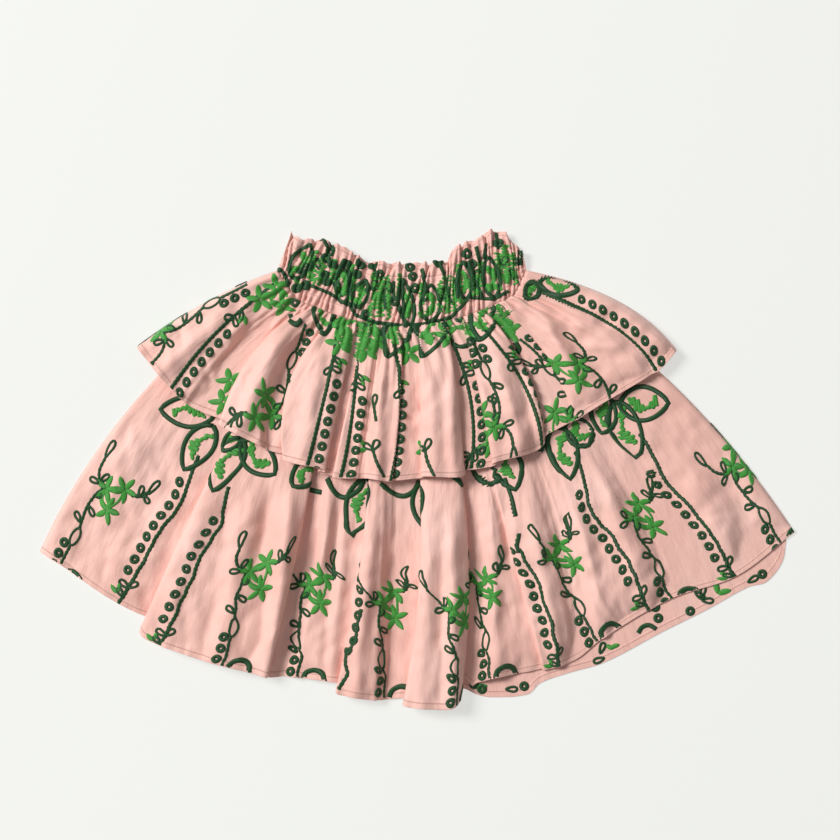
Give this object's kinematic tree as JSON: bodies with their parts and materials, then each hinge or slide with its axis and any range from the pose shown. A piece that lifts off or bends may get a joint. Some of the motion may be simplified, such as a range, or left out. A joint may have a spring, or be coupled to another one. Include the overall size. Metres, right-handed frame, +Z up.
{
  "type": "skirt",
  "caption": "Gathered two-tier cotton skirt with a shirred elastic yoke, laid flat on its back with its tiers fanned out.",
  "frame": {"origin": "on the surface the skirt lies on, under the middle of its outline", "axes": "+X across the skirt towards its right side in the picture, +Y from the hem to the waist, +Z up from the surface"},
  "size_m": [0.7545, 0.4745, 0.0253],
  "materials": {
    "pink_cotton": "smooth woven cotton with green machine embroidery",
    "shirred_cotton": "woven cotton gathered on rows of elastic thread"
  },
  "bodies": {
    "root": {"yoke_front": "shirred_cotton", "yoke_back": "shirred_cotton", "upper_tier_front": "pink_cotton", "upper_tier_back": "pink_cotton", "lower_tier_front": "pink_cotton", "lower_tier_back": "pink_cotton"}
  },
  "joints": []
}
